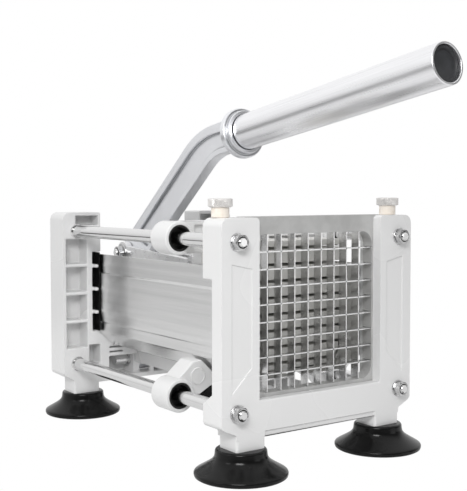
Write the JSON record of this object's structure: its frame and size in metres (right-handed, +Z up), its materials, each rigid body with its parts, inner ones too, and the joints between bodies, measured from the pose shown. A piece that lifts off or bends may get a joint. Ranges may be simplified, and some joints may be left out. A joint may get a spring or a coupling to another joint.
{
  "type": "french fry cutter",
  "caption": "Lever-operated french fry cutter: cast frames on guide rods, sliding pusher, blade grid, V trough, long tube handle and suction feet.",
  "frame": {"origin": "bottom centre of the whole machine, on the bench surface under the middle of its box", "axes": "+Z up, -Y towards the blade end where the chips come out, +X to the right seen from the blade end; mirror plane at x = 0"},
  "size_m": [0.1568, 0.3229, 0.2308],
  "materials": {
    "white_enamel": "gloss white coat on cast aluminium",
    "lever_casting": "tumbled casting, light grey",
    "polished_steel": "polished",
    "zinc_fasteners": "bright zinc plate",
    "trough_sheet": "satin stainless sheet",
    "black_rubber": "semi-gloss moulded rubber",
    "black_nylon": "moulded nylon",
    "blade_casting": "grey cast frame, satin",
    "blade_steel": "ground stainless",
    "pusher_plastic": "white moulded plastic",
    "knob_metal": "pale knurled cap",
    "brushed_tube": "brushed lengthwise",
    "dark_plug": "dark grey moulded plug",
    "link_steel": "bright plated flat bar"
  },
  "bodies": {
    "frame": {"front_frame": "white_enamel", "rear_frame": "white_enamel", "guide_rod_lower_left": "polished_steel", "guide_rod_lower_right": "polished_steel", "guide_rod_upper_left": "polished_steel", "guide_rod_upper_right": "polished_steel", "front_rod_washers": "zinc_fasteners", "front_rod_nuts": "zinc_fasteners", "rear_rod_washers": "zinc_fasteners", "rear_rod_nuts": "zinc_fasteners", "trough_panel_left": "trough_sheet", "trough_panel_right": "trough_sheet", "trough_screws": "zinc_fasteners", "edge_strip_left": "black_rubber", "edge_strip_right": "black_rubber", "bottom_rail": "trough_sheet", "suction_foot_front_left": "black_rubber", "suction_foot_front_right": "black_rubber", "suction_foot_rear_left": "black_rubber", "suction_foot_rear_right": "black_rubber", "foot_studs": "zinc_fasteners", "pivot_shaft": "zinc_fasteners", "shaft_rings": "zinc_fasteners", "hub_spacers": "zinc_fasteners"},
    "blade_cassette": {"blade_frame": "blade_casting", "vertical_blades": "blade_steel", "horizontal_blades": "blade_steel", "blade_frame_screws": "zinc_fasteners"},
    "thumb_screw_left": {"thumb_screw_left": "knob_metal"},
    "thumb_screw_right": {"thumb_screw_right": "knob_metal"},
    "carriage": {"carriage": "white_enamel", "carriage_bushings": "black_nylon", "pusher_block": "pusher_plastic", "pusher_screws": "zinc_fasteners"},
    "lever": {"lever_arm": "lever_casting", "handle_tube": "brushed_tube", "handle_plug": "dark_plug", "handle_screw": "zinc_fasteners", "lever_link_pin": "zinc_fasteners", "link_washers": "zinc_fasteners", "link_nuts": "zinc_fasteners"},
    "links": {"link_left": "link_steel", "link_right": "link_steel", "carriage_link_pin": "zinc_fasteners", "pin_clips": "zinc_fasteners"}
  },
  "joints": [
    {"name": "lever_hinge", "type": "hinge", "parent": "frame", "child": "lever", "pos_m": [0, 0.13781, 0.034], "axis": [1, 0, 0], "range_deg": [-50, 12]},
    {"name": "carriage_slide", "type": "slide", "parent": "frame", "child": "carriage", "axis": [0, -1, 0], "range_m": [-0.0604, 0.0148]},
    {"name": "link_hinge", "type": "hinge", "parent": "lever", "child": "links", "pos_m": [0, 0.15151, 0.112], "axis": [1, 0, 0], "range_deg": [-7.62, 30.8]},
    {"name": "cassette_slide", "type": "slide", "parent": "frame", "child": "blade_cassette", "axis": [0, 0, -1], "range_m": [-0.006, 0]},
    {"name": "thumb_turn_left", "type": "hinge", "parent": "frame", "child": "thumb_screw_left", "pos_m": [-0.063, -0.05499, 0.143], "axis": [0, 0, 1], "continuous": true},
    {"name": "thumb_turn_right", "type": "hinge", "parent": "frame", "child": "thumb_screw_right", "pos_m": [0.063, -0.05499, 0.143], "axis": [0, 0, 1], "continuous": true}
  ],
  "couplings": [
    {"joint": "carriage_slide", "follows": "lever_hinge", "m_per_rad": 0.06875},
    {"joint": "link_hinge", "follows": "lever_hinge", "ratio": -0.61}
  ]
}
